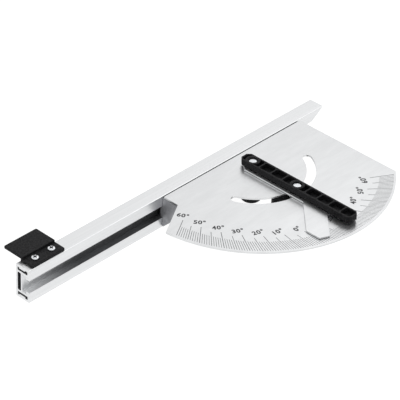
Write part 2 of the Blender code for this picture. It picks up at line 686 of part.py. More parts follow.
def pointer_outline():
    """The strip under the bar, and its arm, which bends away to the reading edge."""
    half, slope = POINTER_HALF_WIDTH, 1 / math.tan(POINTER_ARM_ANGLE)
    far = POINTER_FAR_REACH
    reading_start = -POINTER_ARM_START - (READING_OFFSET - half) * slope
    reading_end = reading_start - READING_LENGTH
    tip_x = -READING_OFFSET + POINTER_TIP_WIDTH
    near = reading_end - (tip_x + half) * slope
    return [
        (half, near),
        (half, far - POINTER_CORNER),
        (half - POINTER_CORNER, far),
        (POINTER_CORNER - half, far),
        (-half, far - POINTER_CORNER),
        (-half, -POINTER_ARM_START),
        (-READING_OFFSET, reading_start),
        (-READING_OFFSET, reading_end),
        (tip_x, reading_end),
        (-half, near),
    ]


def build_pointer_plate(body):
    holes = [circle((0, 0), BOLT_BORE_RADIUS), circle((0, -SLOT_RADIUS), BOLT_BORE_RADIUS)]
    bm = prism([pointer_outline()] + holes, POINTER_Z, POINTER_TOP_Z)
    piece("pointer_plate", bm, sheet_steel(), body)


def bar_outline():
    half = BAR_WIDTH / 2
    near_x = half - BAR_CORNER_CHAMFER
    far, near = BAR_FAR_REACH, -BAR_NEAR_REACH
    return [
        (half, near + BAR_CORNER_CHAMFER),
        (half, far - BAR_CORNER_CHAMFER),
        (near_x, far),
        (-near_x, far),
        (-half, far - BAR_CORNER_CHAMFER),
        (-half, near + BAR_CORNER_CHAMFER),
        (-near_x, near),
        (near_x, near),
    ]


def bar_stations():
    """What closes the bar's pockets, from far to near: (y, half thickness) of a wall or rib, (y, None) of a boss."""
    bosses = [0, -SLOT_RADIUS]
    room = BAR_RIB / 2 + BAR_SHORTEST_POCKET
    count = int((BAR_NEAR_REACH - BAR_WALL - room - BAR_FIRST_RIB) / BAR_RIB_PITCH) + 1
    ribs = [-BAR_FIRST_RIB - i * BAR_RIB_PITCH for i in range(count)]
    clear = [y for y in ribs if all(abs(y - boss) > BAR_WIDTH / 2 + room for boss in bosses)]
    walls = [BAR_FAR_REACH - BAR_WALL / 2, -BAR_NEAR_REACH + BAR_WALL / 2]
    stations = [(y, BAR_WALL / 2) for y in walls] + [(y, BAR_RIB / 2) for y in clear] + [(y, None) for y in bosses]
    return sorted(stations, key=lambda station: -station[0])


def pocket_edge(station, side):
    """The edge of a pocket along a station, from -x to +x. The pocket lies on the station's +y or -y side."""
    y, thickness = station
    half = BAR_WIDTH / 2 - BAR_WALL
    if thickness is None:
        radius = BAR_WIDTH / 2
        turn = side * math.acos(half / radius)
        return arc((0, y), radius, side * math.pi - turn, turn, 6)
    edge = y + side * thickness
    corner = edge + side * BAR_POCKET_CORNER
    near_x = half - BAR_POCKET_CORNER
    return [(-half, corner), (-near_x, edge), (near_x, edge), (half, corner)]


def build_guide_bar(body):
    """The bar: its block, the pockets between ribs, and the stepped holes for both bolts."""
    bm = prism([bar_outline()], BAR_Z, BAR_TOP_Z)
    bevel(bm, BAR_EDGE_BEVEL, lies_at(BAR_TOP_Z))
    bevel(bm, BAR_EDGE_BEVEL, lies_at(BAR_Z))
    bar = piece("guide_bar", bm, black_nylon(), body)
    stations = bar_stations()
    pockets = [pocket_edge(far, -1) + pocket_edge(near, 1)[::-1] for far, near in zip(stations, stations[1:])]
    combine(bar, "DIFFERENCE", [prism([pocket], BAR_Z + BAR_FLOOR, BAR_TOP_Z + PAST) for pocket in pockets])
    sink = BOLT_HEAD_DIAMETER / 2 + BOLT_HEAD_CLEARANCE
    sinks = [prism([circle((0, y), sink)], BOLT_SEAT_Z, BAR_TOP_Z + PAST) for y in (0, -SLOT_RADIUS)]
    combine(bar, "DIFFERENCE", sinks)
    round_hole = prism([circle((0, 0), BOLT_BORE_RADIUS)], BAR_Z - PAST, BAR_TOP_Z)
    square_hole = prism([chamfered_square(BOLT_BORE_RADIUS, CLAMP_NECK_CHAMFER)], BAR_Z - PAST, BAR_TOP_Z)
    combine(bar, "DIFFERENCE", [round_hole, moved(square_hole, (0, -SLOT_RADIUS, 0))])


def build_clamp_bolt(body):
    """The clamp bolt. A square neck under its head keeps it from turning in the bar."""
    bush_end = KNOB_HUB_Z - BUSH_LENGTH
    place = (0, -SLOT_RADIUS, 0)
    bolt = piece("clamp_bolt", turned(bolt_profile(bush_end + BOLT_END)), zinc_steel(), body, place)
    inside_head = BOLT_HEAD_Z + BOLT_HEAD_HEIGHT / 2
    neck = prism([chamfered_square(BOLT_RADIUS, CLAMP_NECK_CHAMFER)], BAR_Z, inside_head)
    combine(bolt, "UNION", [neck])
    ring = washer(WASHER_DIAMETER, BOLT_BORE_RADIUS, WASHER_THICKNESS)
    piece("clamp_washer", ring, zinc_steel(), body, (0, -SLOT_RADIUS, CLAMP_WASHER_Z))


def lobed_ring(radius, z, depth):
    """A ring of points whose valleys reach in by depth, at the spacing of the knob's lobes."""
    count = KNOB_LOBES * LOBE_STEPS
    ring = []
    for i in range(count):
        turn = 2 * math.pi * i / count
        valley = (0.5 + 0.5 * math.cos(KNOB_LOBES * turn)) ** 2
        reach = radius - depth * valley
        ring.append((reach * math.cos(turn), reach * math.sin(turn), z))
    return ring


def build_clamp_knob(body):
    """The knob: a bored hub that widens to a lobed grip with rounded rims, and the bush in its bore."""
    bush, hub, grip = BUSH_DIAMETER / 2, KNOB_HUB_DIAMETER / 2, KNOB_DIAMETER / 2
    edge = KNOB_EDGE_RADIUS
    bore_z = KNOB_HUB_Z - BUSH_LENGTH - SEAT_GAP
    upper = arc((grip - edge, KNOB_HEAD_Z - edge), edge, math.pi / 2, 0, 4)
    lower = arc((grip - edge, FLOOR_Z + edge), edge, 0, -math.pi / 2, 4)
    plain = [(bush + BORE_GAP, bore_z), (bush + BORE_GAP, KNOB_HUB_Z), (hub, KNOB_HUB_Z), (hub, KNOB_HEAD_Z)]
    rings = [lobed_ring(radius, z, 0) for radius, z in plain]
    rings += [lobed_ring(radius, z, KNOB_LOBE_DEPTH) for radius, z in upper + lower]
    piece("clamp_knob", lofted(rings), black_nylon(), body)
    piece("knob_insert", washer(BUSH_DIAMETER, BOLT_BORE_RADIUS, BUSH_LENGTH), zinc_steel(), body, (0, 0, KNOB_HUB_Z))


def build():
    clear_scene()
    fence = frame("fence", (0, 0, 0))
    build_fence_extrusion(fence)
    build_end_clip(fence)
    build_clip_screws(fence)
    pivot = (0, FENCE_FRONT_Y - PIVOT_TO_FENCE, FENCE_TOP_Z)
    protractor = frame("protractor", pivot)
    build_protractor_plate(protractor)
    build_bracket_nuts(protractor)
    build_plate_bracket(protractor)
    build_groove_fixings(protractor)
    build_pivot_fixings(protractor)
    swing = frame("swing", pivot)
    build_pointer_plate(swing)
    build_guide_bar(swing)
    build_clamp_bolt(swing)
    knob = frame("knob", (0, -SLOT_RADIUS, 0), swing)
    build_clamp_knob(knob)


build()
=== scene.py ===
"""Dresses the guide rail angle stop and sets it in a plain white studio.

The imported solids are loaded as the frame. A solid whose edges are razor sharp is shown by a copy with its
edges broken. Screws, nuts, washers, bush and knob are turned afresh with sockets, threads and lobes, and the
scale's lines and numbers lie on the protractor plate. Lengths are in metres, in the frame's own axes.
"""

import logging  # noqa: E402
import math  # noqa: E402
from collections.abc import Callable, Sequence  # noqa: E402
from dataclasses import dataclass, field, replace  # noqa: E402
from enum import Enum  # noqa: E402
from typing import Any  # noqa: E402

import bmesh  # noqa: E402
import bpy  # noqa: E402
from mathutils import Matrix, Vector  # noqa: E402


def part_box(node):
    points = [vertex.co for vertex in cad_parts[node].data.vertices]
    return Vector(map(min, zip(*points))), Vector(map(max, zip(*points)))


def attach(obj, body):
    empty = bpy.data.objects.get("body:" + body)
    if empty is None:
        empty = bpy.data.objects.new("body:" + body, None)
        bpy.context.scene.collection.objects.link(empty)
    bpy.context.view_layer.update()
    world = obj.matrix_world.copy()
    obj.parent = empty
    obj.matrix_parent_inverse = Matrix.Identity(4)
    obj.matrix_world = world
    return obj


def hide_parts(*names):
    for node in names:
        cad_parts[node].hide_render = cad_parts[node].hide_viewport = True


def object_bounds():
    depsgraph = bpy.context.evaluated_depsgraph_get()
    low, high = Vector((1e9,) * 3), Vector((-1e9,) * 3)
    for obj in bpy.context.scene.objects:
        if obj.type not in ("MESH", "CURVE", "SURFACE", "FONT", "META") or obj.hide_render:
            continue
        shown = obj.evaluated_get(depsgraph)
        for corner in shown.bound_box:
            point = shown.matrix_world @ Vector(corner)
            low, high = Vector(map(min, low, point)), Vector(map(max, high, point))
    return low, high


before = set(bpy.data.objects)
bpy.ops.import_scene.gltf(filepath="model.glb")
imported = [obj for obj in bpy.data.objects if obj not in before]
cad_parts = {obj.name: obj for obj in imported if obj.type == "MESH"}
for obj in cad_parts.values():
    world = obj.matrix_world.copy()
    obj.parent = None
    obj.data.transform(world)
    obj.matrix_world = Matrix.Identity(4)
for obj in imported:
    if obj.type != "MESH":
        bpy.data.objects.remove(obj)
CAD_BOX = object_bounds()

LOG = logging.getLogger("angle_stop")
MM = 0.001
POLE = 1e-7
MERGE = 1e-6
TEXT_MERGE = 1e-5
SMOOTH_ANGLE = math.radians(32)
SHARP_ANGLE = math.radians(35)
FLAT_ANGLE = math.radians(0.2)
ROUND_STEPS = 64
NUT_STEPS = 72
FINE_STEPS = 96
WHITE = "#FFFFFF"
# The colour sockets of a mix node, by number, since its sockets for other values have the same names.
MIX_SHARE, MIX_FIRST, MIX_SECOND, MIX_RESULT = 0, 6, 7, 2
STREAK_DETAIL = 3.0
STREAK_ROUGHNESS = 0.6
STREAK_HEIGHT = 0.5
GRAIN_DETAIL = 2.0

Reach = float | Callable[[float], float]


class Body(Enum):
    """The bodies that the pieces ride on."""

    PROTRACTOR = "protractor"
    FENCE = "fence"
    SWING = "swing"
    KNOB = "knob"


class Slot(Enum):
    """The record's material slots."""

    FENCE = "fence_aluminium"
    SHEET = "plate_sheet"
    CAST = "cast_aluminium"
    NYLON = "black_nylon"
    ZINC = "zinc_steel"


def linear(colour: str) -> tuple[float, float, float, float]:
    """Turns an sRGB hex colour into linear RGBA.

    Args:
        colour: The colour, as "#RRGGBB".

    Returns:
        Red, green, blue and an alpha of 1.
    """
    shares = [int(colour[i : i + 2], 16) / 255 for i in (1, 3, 5)]
    red, green, blue = (c / 12.92 if c <= 0.04045 else ((c + 0.055) / 1.055) ** 2.4 for c in shares)
    return (red, green, blue, 1.0)


def add_node(
    material: bpy.types.Material | bpy.types.World,
    kind: str,
    settings: dict[str, Any] | None = None,
    inputs: dict[str | int, Any] | None = None,
) -> bpy.types.Node:
    """Adds one node with its settings and links.

    Args:
        material: The material or world that gets the node.
        kind: The node's type name.
        settings: Attributes of the node.
        inputs: Values, or the sockets that feed the inputs, by input name or number.

    Returns:
        The new node.
    """
    tree = material.node_tree
    node = tree.nodes.new(kind)
    for name, value in (settings or {}).items():
        setattr(node, name, value)
    for name, value in (inputs or {}).items():
        if isinstance(value, bpy.types.NodeSocket):
            tree.links.new(value, node.inputs[name])
        else:
            node.inputs[name].default_value = value
    return node


def blend(
    material: bpy.types.Material, share: bpy.types.NodeSocket, first: Any, second: Any
) -> bpy.types.NodeSocket:
    """Blends two colours.

    Args:
        material: The material that gets the node.
        share: How much of the second colour shows, from 0 to 1.
        first: The first colour, or the socket that gives it.
        second: The second colour, likewise.

    Returns:
        The socket with the blended colour.
    """
    inputs = {MIX_SHARE: share, MIX_FIRST: first, MIX_SECOND: second}
    return add_node(material, "ShaderNodeMix", {"data_type": "RGBA"}, inputs).outputs[MIX_RESULT]


@dataclass(frozen=True)
class Finish:
    """A finish: two tones in a pattern of streaks or grains, with its gloss and its relief.

    streak holds the pattern's size along x, y and z in millimetres, and grain the size of the fine relief.
    Where an end of painted light is given, the tone is painted lighter there, standing in for light that
    falls in, and the painted light fades over the given length along x.
    """

    title: str
    slot: Slot
    light: str
    dark: str
    metallic: float
    roughness: tuple[float, float]
    streak: tuple[float, float, float]
    grain: float
    relief: float
    specular: float = 0.5
    contrast: tuple[float, float] = (0.35, 0.65)
    painted_light: str = WHITE
    painted_light_end: float | None = None
    painted_light_length: float = 0.0

    def material(self) -> bpy.types.Material:
        """Gives the finish's material, which is made on first use."""
        made = bpy.data.materials.get(self.title)
        return made or self.mixed()

    def mixed(self) -> bpy.types.Material:
        """Builds the nodes.

        Returns:
            The new material.
        """
        made = bpy.data.materials.new(self.title)
        made.use_nodes = True
        made.node_tree.nodes.clear()
        place = add_node(made, "ShaderNodeTexCoord").outputs["Object"]
        scale = [1 / (size * MM) for size in self.streak]
        laid = add_node(made, "ShaderNodeMapping", {}, {"Vector": place, "Scale": scale})
        streaks = add_node(
            made,
            "ShaderNodeTexNoise",
            {},
            {"Vector": laid.outputs[0], "Scale": 1.0, "Detail": STREAK_DETAIL, "Roughness": STREAK_ROUGHNESS},
        )
        low, high = self.contrast
        share = add_node(
            made, "ShaderNodeMapRange", {}, {"Value": streaks.outputs[0], "From Min": low, "From Max": high}
        ).outputs[0]
        tone = blend(made, share, linear(self.dark), linear(self.light))
        # Painted light: towards the given end the tone is painted lighter, and fades back along x.
        if self.painted_light_end is not None:
            along = add_node(made, "ShaderNodeSeparateXYZ", {}, {0: place}).outputs[0]
            start, end = self.painted_light_end * MM, (self.painted_light_end + self.painted_light_length) * MM
            painted_light_fade = add_node(
                made,
                "ShaderNodeMapRange",
                {"interpolation_type": "SMOOTHSTEP"},
                {"Value": along, "From Min": start, "From Max": end},
            )
            tone = blend(made, painted_light_fade.outputs[0], linear(self.painted_light), tone)
        smooth, rough = self.roughness
        gloss = add_node(made, "ShaderNodeMapRange", {}, {"Value": share, "To Min": rough, "To Max": smooth})
        fineness = 1 / (self.grain * MM)
        grains = add_node(
            made, "ShaderNodeTexNoise", {}, {"Vector": place, "Scale": fineness, "Detail": GRAIN_DETAIL}
        ).outputs[0]
        height = add_node(
            made, "ShaderNodeMath", {"operation": "MULTIPLY_ADD"}, {0: share, 1: STREAK_HEIGHT, 2: grains}
        ).outputs[0]
        bump = add_node(
            made, "ShaderNodeBump", {}, {"Strength": 1.0, "Distance": self.relief * MM, "Height": height}
        )
        shader = add_node(
            made,
            "ShaderNodeBsdfPrincipled",
            {},
            {
                "Base Color": tone,
                "Metallic": self.metallic,
                "Roughness": gloss.outputs[0],
                "Specular IOR Level": self.specular,
                "Normal": bump.outputs[0],
            },
        )
        add_node(made, "ShaderNodeOutputMaterial", {}, {"Surface": shader.outputs[0]})
        return made


# Aluminium pressed through a die, etched matt and clear anodised: silvery, with faint lines along its length.
# Such die lines are under 0.1 mm wide, and are drawn 1.4 mm wide so that they show.
EXTRUSION = Finish(
    "clear anodised extruded aluminium",
    Slot.FENCE,
    "#E1E2E3",
    "#DCDDDE",
    1.0,
    (0.3, 0.38),
    (160, 1.4, 1.4),
    0.8,
    0.003,
)
# The same skin inside the groove, duller, with painted shade: painted much darker, as little light reaches
# it. Light
# entering the open end is painted too: the tone is light there and darkens along the groove.
GROOVE_SHADE = Finish(
    "anodised aluminium with painted groove shade",
    Slot.FENCE,
    "#98999B",
    "#88898C",
    0.9,
    (0.42, 0.5),
    (90, 2.2, 2.2),
    0.8,
    0.004,
    painted_light="#EDEEEF",
    painted_light_end=-267.5,
    painted_light_length=75,
)
# The closed chamber behind the groove, in the groove's darker tones as painted shade: hardly any light
# reaches it, so it is painted to stay nearly black.
CHAMBER_SHADE = replace(GROOVE_SHADE, title="aluminium with painted chamber shade", painted_light_end=None)
# Rolled aluminium sheet, clear anodised: an even pale grey with a silky rolling grain across the plate.
SHEET = Finish(
    "clear anodised aluminium sheet",
    Slot.SHEET,
    "#DBDCDD",
    "#D5D6D7",
    1.0,
    (0.31, 0.33),
    (38, 9, 38),
    0.9,
    0.0008,
)
# Die-cast aluminium, left as cast: a dull mid grey with a sandy skin and clouded patches.
CASTING = Finish(
    "as-cast aluminium", Slot.CAST, "#ACADB0", "#9E9FA3", 0.85, (0.5, 0.65), (7, 7, 7), 0.9, 0.03
)
# Glass-filled nylon from a spark-eroded mould: black and dull, with a fine leathery grain. Such a grain is
# about 0.15 mm wide, and is drawn 0.7 to 1.5 mm wide so that it shows.
NYLON = Finish(
    "black glass-filled nylon",
    Slot.NYLON,
    "#232325",
    "#09090A",
    0.0,
    (0.42, 0.62),
    (1.5, 1.5, 1.5),
    0.7,
    0.05,
    0.13,
)
# Steel with bright zinc plate: almost white, with soft clouds from the bath.
ZINC = Finish(
    "bright zinc-plated steel", Slot.ZINC, "#E6E8EA", "#D6D9DC", 1.0, (0.2, 0.32), (3, 3, 3), 0.5, 0.004
)
# The same plate deep in a recess, with painted shade: little light reaches it, so it is painted dull and
# nearly black.
RECESS_SHADE = Finish(
    "zinc plate with painted recess shade", Slot.ZINC, "#3A3B3D", "#222325", 0.6, (0.5, 0.6), (2, 2, 2), 0.5, 0.004
)
# Printing ink in thin lines on metal: dull, and greyer than in the numbers, as the photograph shows.
LINE_INK = Finish(
    "grey printing ink", Slot.SHEET, "#505154", "#434548", 0.0, (0.5, 0.65), (2, 2, 2), 0.4, 0.002
)
# The same ink in the numbers: dull and darker.
NUMBER_INK = Finish(
    "dark printing ink", Slot.SHEET, "#3A3B3E", "#2C2D30", 0.0, (0.5, 0.65), (2, 2, 2), 0.4, 0.002
)


@dataclass(frozen=True)
class FloorFinish:
    """A white paper sweep. It shows white to the camera and to reflections, and keeps the object's shadow."""

    title: str = "white paper sweep"
    glow: float = 0.96
    colour: str = "#E6E6E6"
    shown_colour: str = "#7C7C7C"
    fibres: float = 900.0
    tooth: float = 0.02 * MM
    tooth_strength: float = 0.2

    def material(self) -> bpy.types.Material:
        """Builds the nodes.

        Returns:
            The floor's material.
        """
        made = bpy.data.materials.new(self.title)
        made.use_nodes = True
        made.node_tree.nodes.clear()
        place = add_node(made, "ShaderNodeTexCoord").outputs["Object"]
        fibres = add_node(made, "ShaderNodeTexNoise", {}, {"Vector": place, "Scale": self.fibres})
        tooth = add_node(
            made,
            "ShaderNodeBump",
            {},
            {"Strength": self.tooth_strength, "Distance": self.tooth, "Height": fibres.outputs[0]},
        )
        shown = shown_to_camera(made)
        colour = blend(made, shown, linear(self.colour), linear(self.shown_colour))
        paper = add_node(made, "ShaderNodeBsdfDiffuse", {}, {"Color": colour, "Normal": tooth.outputs[0]})
        strength = add_node(made, "ShaderNodeMath", {"operation": "MULTIPLY"}, {0: shown, 1: self.glow})
        light = {"Color": linear(WHITE), "Strength": strength.outputs[0]}
        glow = add_node(made, "ShaderNodeEmission", {}, light)
        both = add_node(made, "ShaderNodeAddShader", {}, {0: paper.outputs[0], 1: glow.outputs[0]})
        add_node(made, "ShaderNodeOutputMaterial", {}, {"Surface": both.outputs[0]})
        return made


def shown_to_camera(material: bpy.types.Material | bpy.types.World) -> bpy.types.NodeSocket:
    """Gives 1 for rays from the camera and for those of reflection and transmission, and 0 for others.

    Args:
        material: The material or world that gets the nodes.

    Returns:
        The socket with the result.
    """
    path = add_node(material, "ShaderNodeLightPath")
    rays = [path.outputs[name] for name in ("Is Camera Ray", "Is Glossy Ray", "Is Transmission Ray")]
    first = add_node(material, "ShaderNodeMath", {"operation": "MAXIMUM"}, {0: rays[0], 1: rays[1]})
    return add_node(
        material, "ShaderNodeMath", {"operation": "MAXIMUM"}, {0: first.outputs[0], 1: rays[2]}
    ).outputs[0]


def piece(
    name: str,
    shape: bmesh.types.BMesh,
    finish: Finish,
    body: Body,
    stands_for: Sequence[str] = (),
    inside: Sequence[Finish] = (),
) -> bpy.types.Object:
    """Turns a finished shape into a piece that rides on a body.

    Args:
        name: The piece's name.
        shape: Its shape, in place. It is freed.
        finish: Its finish.
        body: The body that it rides on.
        stands_for: The solids that it replaces.
        inside: The finishes of the faces that are marked with material 1, 2 and so on.

    Returns:
        The piece's object.
    """
    mesh = bpy.data.meshes.new(name)
    shape.to_mesh(mesh)
    shape.free()
    for used in (finish, *inside):
        mesh.materials.append(used.material())
    mesh.shade_smooth()
    mesh.set_sharp_from_angle(angle=SMOOTH_ANGLE)
    made = bpy.data.objects.new(name, mesh)
    bpy.context.scene.collection.objects.link(made)
    weighted = made.modifiers.new("flat faces stay flat", "WEIGHTED_NORMAL")
    weighted.keep_sharp = True
    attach(made, body.value)
    if stands_for:
        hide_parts(*stands_for)
    LOG.info("%s: %d faces", name, len(mesh.polygons))
    return made


def softened(
    node: str, radius: float, segments: int = 2, fit: Callable[[Vector], Vector] | None = None
) -> bmesh.types.BMesh:
    """Copies a solid and breaks its sharp edges.

    Args:
        node: The solid's name.
        radius: How far each edge is broken at most, in metres. It is less where breaks would overlap.
        segments: Facets across a broken edge.
        fit: Gives where a corner of the copy goes, if its outline is fitted first.

    Returns:
        The copy, in place.
    """
    shape = bmesh.new()
    shape.from_mesh(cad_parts[node].data)
    bmesh.ops.remove_doubles(shape, verts=shape.verts[:], dist=MERGE)
    for vert in shape.verts if fit else ():
        vert.co = fit(vert.co)
    bmesh.ops.dissolve_limit(shape, angle_limit=FLAT_ANGLE, verts=shape.verts[:], edges=shape.edges[:])
    sharp = [edge for edge in shape.edges if edge.is_manifold and edge.calc_face_angle(0) > SHARP_ANGLE]
    bmesh.ops.bevel(
        shape,
        geom=sharp,
        offset=radius,
        offset_type="OFFSET",
        affect="EDGES",
        segments=segments,
        profile=0.5,
        material=-1,
        clamp_overlap=True,
    )
    return shape


@dataclass(frozen=True)
class Station:
    """One ring of a turned or lobed shape: how far out it lies and how high, each a value or by angle."""

    reach: Reach
    height: Reach


def ringed(stations: Sequence[Station], steps: int = ROUND_STEPS, closed: bool = False) -> bmesh.types.BMesh:
    """Draws a skin through rings about Z.

    Args:
        stations: The rings, in order.
        steps: Points on a ring.
        closed: Whether the last ring joins the first, as in a washer.

    Returns:
        The shape about the origin.
    """
    shape = bmesh.new()
    bmesh.ops.create_circle(shape, cap_ends=False, segments=steps, radius=1.0)
    ring: list[bmesh.types.BMVert] = shape.verts[:]
    edges: list[bmesh.types.BMEdge] = shape.edges[:]
    stops = [*stations, stations[0]] if closed else list(stations)
    for number, station in enumerate(stops):
        if number:
            grown = bmesh.ops.extrude_edge_only(shape, edges=edges)["geom"]
            ring = [item for item in grown if isinstance(item, bmesh.types.BMVert)]
            edges = [item for item in grown if isinstance(item, bmesh.types.BMEdge) and item.is_boundary]
        for vert in ring:
            angle = math.atan2(vert.co.y, vert.co.x)
            reach = station.reach(angle) if callable(station.reach) else max(station.reach, POLE)
            height = station.height(angle) if callable(station.height) else station.height
            vert.co = (reach * math.cos(angle), reach * math.sin(angle), height)
    bmesh.ops.remove_doubles(shape, verts=shape.verts[:], dist=MERGE)
    bmesh.ops.recalc_face_normals(shape, faces=shape.faces[:])
    return shape


def placed(shape: bmesh.types.BMesh, place: Vector, turn: Matrix | None = None) -> bmesh.types.BMesh:
    """Turns a shape about the origin and moves it.

    Args:
        shape: The shape, which is changed.
        place: Where its origin goes.
        turn: How it is turned first.

    Returns:
        The same shape.
    """
    matrix = Matrix.Translation(place) @ (turn.to_4x4() if turn else Matrix.Identity(4))
    bmesh.ops.transform(shape, matrix=matrix, verts=shape.verts[:])
    return shape


def joined(shapes: Sequence[bmesh.types.BMesh]) -> bmesh.types.BMesh:
    """Puts several shapes into one and frees them.

    Args:
        shapes: The shapes.

    Returns:
        The one that holds them all.
    """
    whole = bmesh.new()
    for shape in shapes:
        mesh = bpy.data.meshes.new("shape")
        shape.to_mesh(mesh)
        shape.free()
        whole.from_mesh(mesh)
        bpy.data.meshes.remove(mesh)
    return whole


def hexagon(flats: float) -> Callable[[float], float]:
    """Gives how far a hexagon reaches at an angle.

    Args:
        flats: Its width across flats.

    Returns:
        The reach by angle.
    """
    sixth = math.pi / 3
    return lambda angle: flats / 2 / math.cos(angle % sixth - sixth / 2)


def cross(length: float, width: float) -> Callable[[float], float]:
    """Gives how far a cross reaches at an angle.

    Args:
        length: How far its arms reach.
        width: How wide they are.

    Returns:
        The reach by angle.
    """

    def reach(angle: float) -> float:
        """Gives the reach at one angle."""
        turn = abs((angle + math.pi / 4) % (math.pi / 2) - math.pi / 4)
        side = width / 2 / max(math.sin(turn), POLE)
        return min(length / math.cos(turn), side)

    return reach


def thread(radius: float, top: float, bottom: float, pitch: float) -> list[Station]:
    """Gives the rings of a thread, from its top down.

    Args:
        radius: The thread's outer radius.
        top: The height where it starts.
        bottom: The height of its chamfered end.
        pitch: The height of one ridge.

    Returns:
        The rings, ending with the pole of the end face.
    """
    depth = 0.5 * pitch
    count = int((top - bottom - depth) / pitch)
    start = top - (top - bottom - depth - count * pitch)
    rings = [Station(radius, top)]
    for turn in range(count):
        height = start - turn * pitch
        rings += [Station(radius, height - 0.1 * pitch), Station(radius - depth, height - 0.5 * pitch)]
        rings += [Station(radius, height - 0.9 * pitch)]
    return [*rings, Station(radius - depth, bottom), Station(0, bottom)]


def corner_of(node: str, side: int) -> Vector:
    """Gives a solid's lowest (side 0) or highest (side 1) corner."""
    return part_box(node)[side]


def axis_of(node: str) -> Vector:
    """Gives the middle of a solid's box, at its top."""
    low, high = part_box(node)
    return Vector(((low.x + high.x) / 2, (low.y + high.y) / 2, high.z))


@dataclass
class Fence:
    """The extruded fence.

    Faces that lie deeper than groove_mouth have the groove's painted-shade finish as far as web_middle, then
    the chamber's.
    """

    edge: float = 0.18 * MM
    groove_mouth: float = -17.3 * MM
    web_middle: float = -7.2 * MM
    groove_half_height: float = 9.9 * MM
    back_skin: float = 1.5 * MM
    end_share: float = 0.3

    def build(self) -> None:
        """Shows the extrusion with its edges broken, and painted shade in its groove and chamber."""
        shape = softened("fence_extrusion", self.edge)
        back = corner_of("fence_extrusion", 1).y
        for face in shape.faces:
            middle = face.calc_center_median()
            along = abs(face.normal.x) < self.end_share
            deep = self.groove_mouth < middle.y < back - self.back_skin
            # Faces inside the groove and the chamber get painted shade.
            if along and deep and abs(middle.z) < self.groove_half_height:
                face.material_index = 1 if middle.y < self.web_middle else 2
        piece("fence", shape, EXTRUSION, Body.FENCE, ["fence_extrusion"], [GROOVE_SHADE, CHAMBER_SHADE])


@dataclass
class EndClip:
    """The moulded clip at the fence's end, and its two screws."""

    edge: float = 0.12 * MM
    head: float = 7 * MM
    head_height: float = 1.5 * MM
    shank: float = 3.6 * MM
    thread_pitch: float = 0.9 * MM
    slot_length: float = 2.2 * MM
    slot_width: float = 1.3 * MM
    slot_depth: float = 1.1 * MM
    slot_point: float = 0.2 * MM
    slot_taper: tuple[float, float] = (0.6, 0.7)
    slot_shade: float = 0.8
    rim_share: float = 0.42
    crown_power: float = 2.6
    crown: tuple[float, ...] = (0.82, 0.92, 0.97, 1.0)
    head_ease: float = 0.15 * MM

    def build(self) -> None:
        """Builds the clip and its screws."""
        piece("clip", softened("end_clip", self.edge), NYLON, Body.FENCE, ["end_clip"])
        for side in ("left", "right"):
            node = f"clip_screw_{side}"
            top = axis_of(node)
            length = top.z - self.head_height - corner_of(node, 0).z
            screw = placed(self.pan_screw(length), top - Vector((0, 0, self.head_height)))
            piece(f"clip_pan_screw_{side}", screw, ZINC, Body.FENCE, [node], [RECESS_SHADE])

    def dome(self, reach: float) -> float:
        """Gives the head's height at a distance from its axis."""
        share = min(reach / (self.head / 2), 1.0)
        rise = math.sqrt(max(1 - share**self.crown_power, 0.0))
        return self.head_height * (self.rim_share + (1 - self.rim_share) * rise)

    def pan_screw(self, length: float) -> bmesh.types.BMesh:
        """Builds a pan-head screw with a cross recess and a thread.

        Args:
            length: How far it reaches below its head.

        Returns:
            The screw, its head standing on height 0.
        """
        opening = cross(self.slot_length, self.slot_width)
        bottom = cross(self.slot_length * self.slot_taper[0], self.slot_width * self.slot_taper[1])
        floor = self.head_height - self.slot_depth
        half = self.head / 2
        rings = [Station(0, floor - self.slot_point), Station(bottom, floor)]
        rings += [Station(opening, lambda angle: self.dome(opening(angle)))]
        rings += [Station(half * share, self.dome(half * share)) for share in self.crown]
        rings += [Station(half, self.head_ease), Station(half - self.head_ease, 0)]
        screw = ringed(rings + thread(self.shank / 2, 0, -length, self.thread_pitch), FINE_STEPS)
        # The faces of the cross recess get painted shade.
        for face in screw.faces:
            middle = face.calc_center_median()
            if middle.xy.length < self.slot_length and 0 < middle.z < self.head_height * self.slot_shade:
                face.material_index = 1
        return screw


